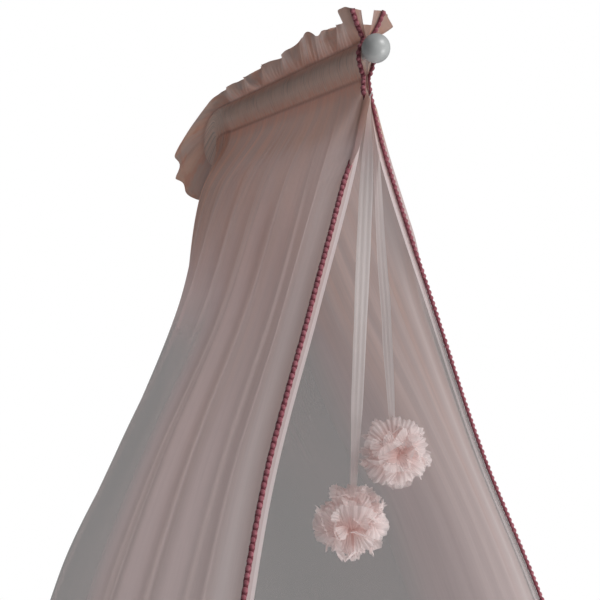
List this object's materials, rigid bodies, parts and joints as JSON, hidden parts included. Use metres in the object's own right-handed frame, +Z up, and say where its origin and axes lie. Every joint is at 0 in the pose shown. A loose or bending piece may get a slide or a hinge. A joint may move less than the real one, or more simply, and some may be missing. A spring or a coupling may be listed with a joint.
{
  "type": "cot mosquito net canopy with wall rod",
  "caption": "Sheer gathered cot canopy on a straight wall rod with a ball end: ruffled heading, bobble-trimmed open front and tulle pompoms hanging inside.",
  "frame": {"origin": "centre of the rod's flat end on the wall, with the rod's axis through it", "axes": "+Y into the wall along the rod, +Z up, +X to the right seen from the open front"},
  "size_m": [1.3127, 0.8057, 1.5601],
  "materials": {
    "voile": "sheer blush voile, matt",
    "bobble_trim": "dusty rose bobbles on a narrow tape",
    "tulle": "sheer blush tulle",
    "pompom": "ruffled blush tulle",
    "rod_finish": "white gloss lacquer"
  },
  "bodies": {
    "root": {"canopy_cloth": "voile", "bobble_trim_left": "bobble_trim", "bobble_trim_right": "bobble_trim", "ribbon_long": "tulle", "ribbon_short": "tulle", "pompom_upper": "pompom", "pompom_lower": "pompom", "rod": "rod_finish", "ball_finial": "rod_finish"}
  },
  "joints": []
}
